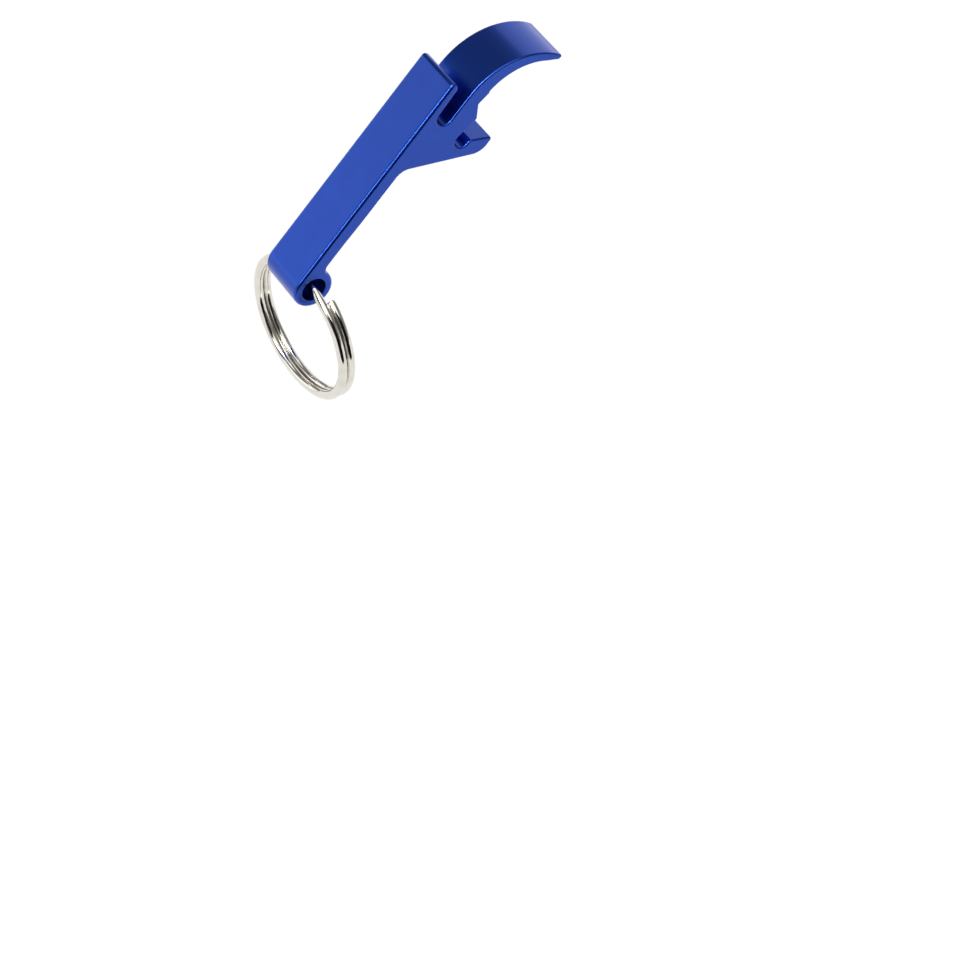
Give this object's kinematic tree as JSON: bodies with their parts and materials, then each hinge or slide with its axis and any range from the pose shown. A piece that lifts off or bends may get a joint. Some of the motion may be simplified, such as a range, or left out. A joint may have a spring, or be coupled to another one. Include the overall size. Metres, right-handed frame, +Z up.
{
  "type": "keychain bottle opener",
  "caption": "Pocket bottle opener cut from an extruded aluminium bar, with a hooked cap-lifting jaw, a can-tab lifter and a steel split ring swinging in its eye.",
  "frame": {"origin": "centre of the notch that takes the edge of the crown cap, in the middle of the lever's width", "axes": "+Z up along the bottle with the opener in use, +X from the handle across the cap, +Y along the extrusion; the handle slopes 46 degrees down towards -X and the ring hangs straight down"},
  "size_m": [0.051, 0.0268, 0.0582],
  "materials": {
    "anodised_blue": "satin, tumbled and anodised blue",
    "nickel_plate": "bright nickel plate"
  },
  "bodies": {
    "opener_body": {"opener_body": "anodised_blue"},
    "split_ring": {"split_ring": "nickel_plate"}
  },
  "joints": [
    {"name": "ring_swing", "type": "hinge", "parent": "opener_body", "child": "split_ring", "pos_m": [-0.02837, 0, -0.01987], "axis": [0, 1, 0], "range_deg": [-126, 206]}
  ]
}
